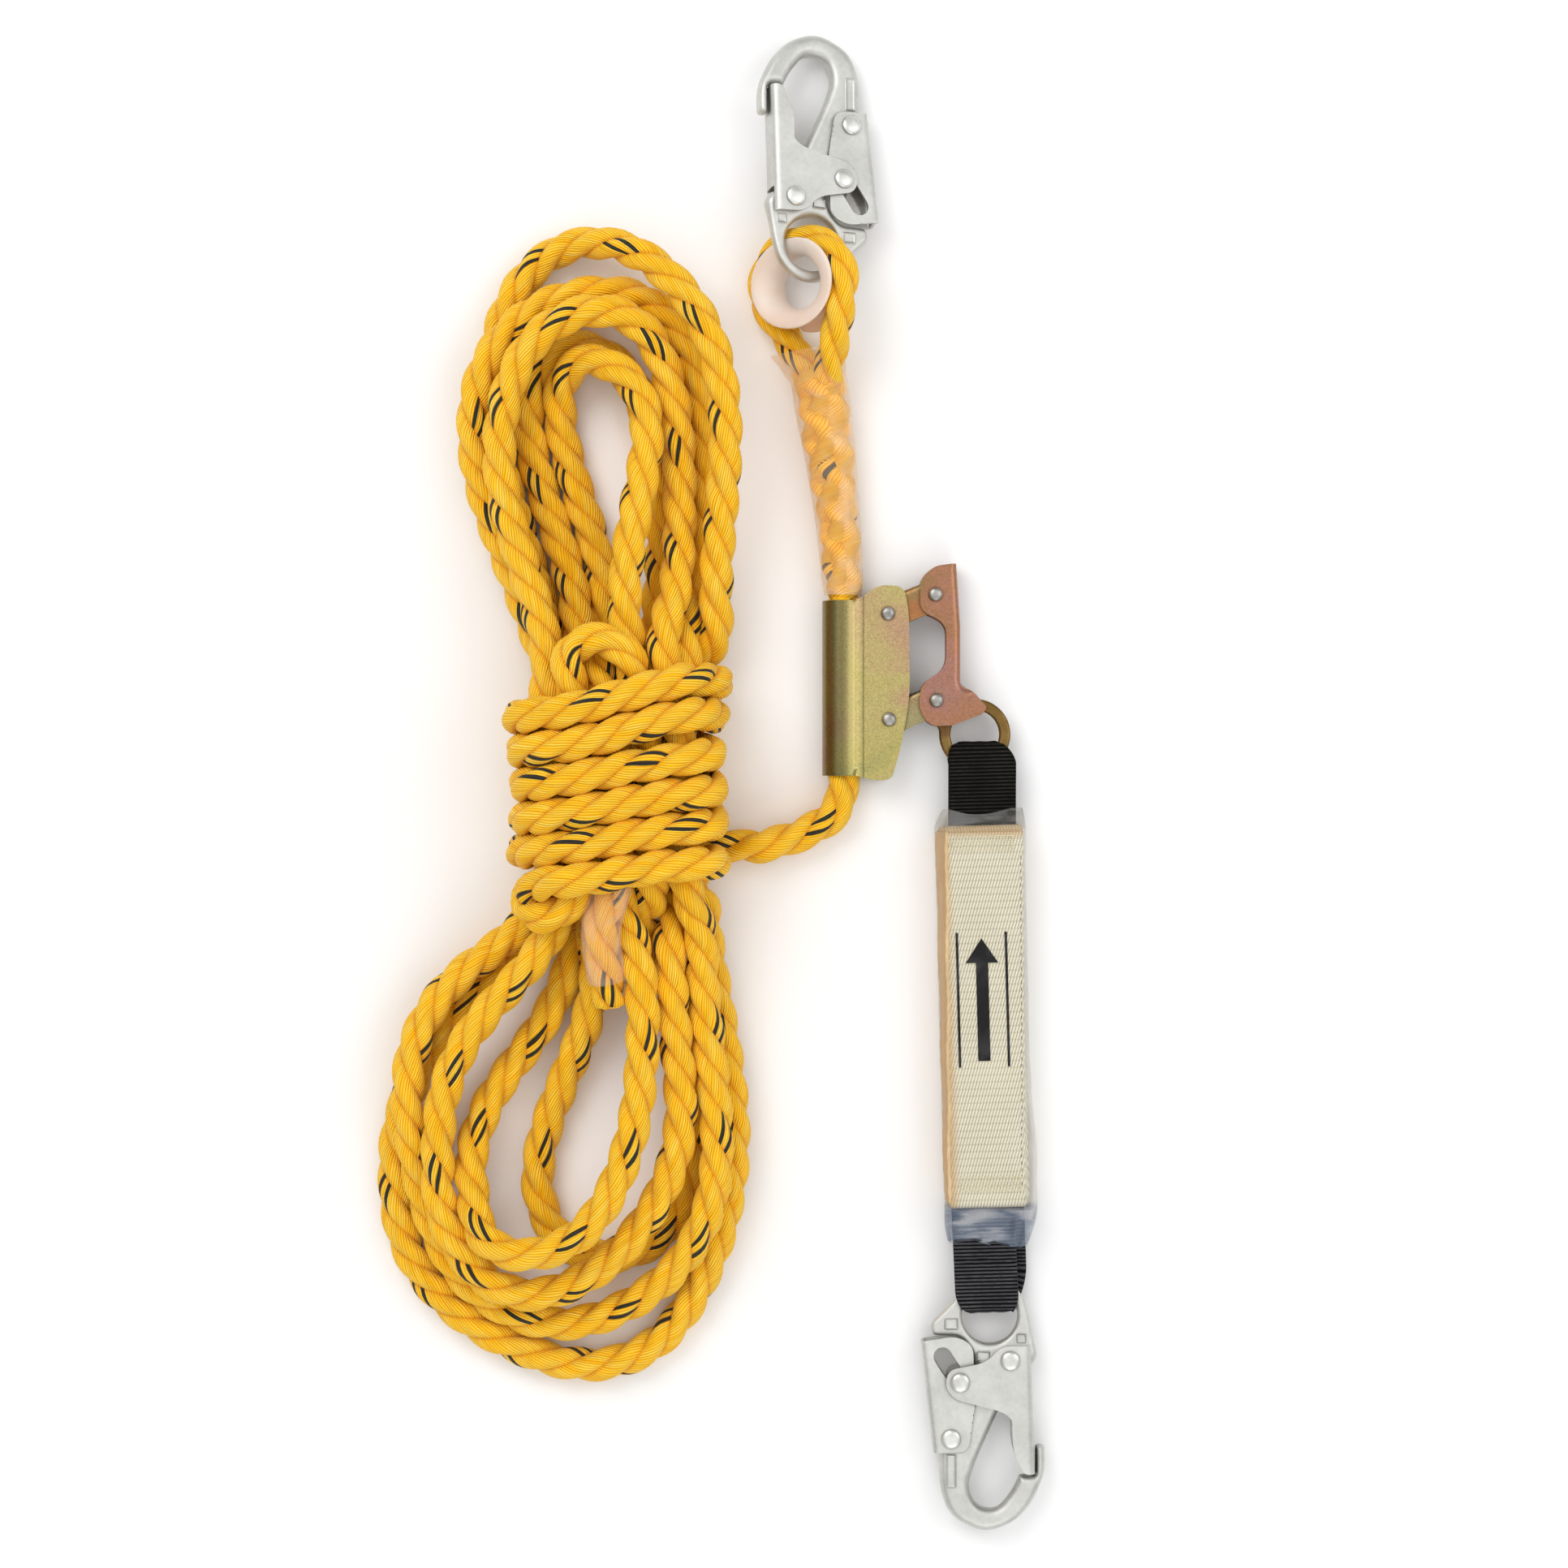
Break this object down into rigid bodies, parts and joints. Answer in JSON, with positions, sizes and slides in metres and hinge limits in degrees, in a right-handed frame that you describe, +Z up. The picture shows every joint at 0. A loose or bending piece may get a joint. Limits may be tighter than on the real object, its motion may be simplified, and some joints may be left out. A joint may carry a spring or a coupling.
{
  "type": "rope lifeline with rope grab and shock absorbing lanyard",
  "caption": "Coiled yellow rope lifeline with a spliced eye, snap hook and sliding rope grab, joined to a film-wrapped webbing shock absorber that ends in a second snap hook.",
  "frame": {"origin": "on the table, under the middle of the hardware (everything but the free rope)", "axes": "+Y from the bottom snap hook to the top snap hook, +Z up off the table"},
  "size_m": [0.3321, 0.737, 0.0801],
  "materials": {
    "rope": "three-strand laid rope",
    "steel": "satin zinc plating",
    "rivet": "domed, plain",
    "plating": "iridescent yellow zinc plating",
    "copper": "mottled copper-brown plating",
    "gold": "golden zinc plating",
    "nylon": "milky nylon",
    "film": "clear shrink film",
    "black": "ribbed webbing",
    "cream": "woven webbing",
    "tan": "edge of folded tear webbing"
  },
  "bodies": {
    "lifeline": {"rope_eye": "rope", "thimble": "nylon", "rope_splice": "rope", "splice_film": "film", "rope_run": "rope", "rope_hank": "rope", "rope_end_sleeve": "film"},
    "top_hook": {"top_hook_body": "steel", "top_hook_lever_rivet": "rivet", "top_hook_gate_rivet": "rivet"},
    "top_hook_gate": {"top_hook_gate": "steel", "top_hook_tongue_rivet": "rivet", "top_hook_gate_spring": "rivet"},
    "top_hook_lever": {"top_hook_lock_lever": "steel"},
    "grab": {"grab_housing": "plating", "grab_upper_rivet": "rivet", "grab_lower_rivet": "rivet"},
    "upper_link": {"grab_upper_link": "gold"},
    "lower_link": {"grab_lower_link": "gold"},
    "handle": {"grab_handle": "copper", "handle_upper_rivet": "rivet", "handle_lower_rivet": "rivet"},
    "eye_plate": {"grab_eye_plate": "gold"},
    "absorber": {"absorber_top_loop": "black", "absorber_core": "cream", "absorber_tear_edge": "tan", "absorber_film": "film", "absorber_mark": "black", "absorber_top_stitching": "cream", "absorber_bottom_stitching": "cream", "absorber_bottom_loop": "black"},
    "bottom_hook": {"bottom_hook_body": "steel", "bottom_hook_lever_rivet": "rivet", "bottom_hook_gate_rivet": "rivet"},
    "bottom_hook_gate": {"bottom_hook_gate": "steel", "bottom_hook_tongue_rivet": "rivet", "bottom_hook_gate_spring": "rivet"},
    "bottom_hook_lever": {"bottom_hook_lock_lever": "steel"}
  },
  "joints": [
    {"name": "top_hook_swing", "type": "hinge", "parent": "lifeline", "child": "top_hook", "pos_m": [-0.04434, 0.2632, 0.02471], "axis": [0.2924, 0.1331, 0.947], "range_deg": [-12, 12]},
    {"name": "top_hook_gate_turn", "type": "hinge", "parent": "top_hook", "child": "top_hook_gate", "pos_m": [-0.05372, 0.28489, 0.02456], "axis": [-0.2924, -0.1331, -0.947], "range_deg": [0, 28], "stiffness_Nm_per_rad": 0.08, "springref_deg": -28.65},
    {"name": "top_hook_lever_turn", "type": "hinge", "parent": "top_hook", "child": "top_hook_lever", "pos_m": [-0.02598, 0.32203, 0.01077], "axis": [-0.2924, -0.1331, -0.947], "range_deg": [0, 9.1]},
    {"name": "grab_slide", "type": "slide", "parent": "lifeline", "child": "grab", "axis": [0, 1, 0], "range_m": [-0.006, 0]},
    {"name": "upper_link_turn", "type": "hinge", "parent": "grab", "child": "upper_link", "pos_m": [-0.00614, 0.0829, 0.01111], "axis": [0, 0, 1], "range_deg": [-12, 14]},
    {"name": "lower_link_turn", "type": "hinge", "parent": "grab", "child": "lower_link", "pos_m": [-0.00564, 0.0309, 0.01111], "axis": [0, 0, 1], "range_deg": [-12, 14]},
    {"name": "handle_turn", "type": "hinge", "parent": "upper_link", "child": "handle", "pos_m": [0.01713, 0.0923, 0.01111], "axis": [0, 0, 1], "range_deg": [-14, 12]},
    {"name": "eye_plate_swing", "type": "hinge", "parent": "handle", "child": "eye_plate", "pos_m": [0.01763, 0.0403, 0.01111], "axis": [0, 0, 1], "range_deg": [-8, 10]},
    {"name": "absorber_swing", "type": "hinge", "parent": "eye_plate", "child": "absorber", "pos_m": [0.03686, 0.0236, 0.01111], "axis": [0, 0, 1], "range_deg": [-10, 25]},
    {"name": "bottom_hook_swing", "type": "hinge", "parent": "absorber", "child": "bottom_hook", "pos_m": [0.04416, -0.2626, 0.01111], "axis": [0, 0, 1], "range_deg": [-15, 15]},
    {"name": "bottom_hook_gate_turn", "type": "hinge", "parent": "bottom_hook", "child": "bottom_hook_gate", "pos_m": [0.05396, -0.2841, 0.01111], "axis": [0, 0, -1], "range_deg": [0, 28], "stiffness_Nm_per_rad": 0.08, "springref_deg": -28.65},
    {"name": "bottom_hook_lever_turn", "type": "hinge", "parent": "bottom_hook", "child": "bottom_hook_lever", "pos_m": [0.02496, -0.3228, 0.01111], "axis": [0, 0, -1], "range_deg": [0, 9.1]}
  ],
  "couplings": [
    {"joint": "top_hook_lever_turn", "follows": "top_hook_gate_turn", "ratio": 0.3214},
    {"joint": "bottom_hook_lever_turn", "follows": "bottom_hook_gate_turn", "ratio": 0.3214},
    {"joint": "lower_link_turn", "follows": "upper_link_turn", "ratio": 1},
    {"joint": "handle_turn", "follows": "upper_link_turn", "ratio": -1}
  ]
}
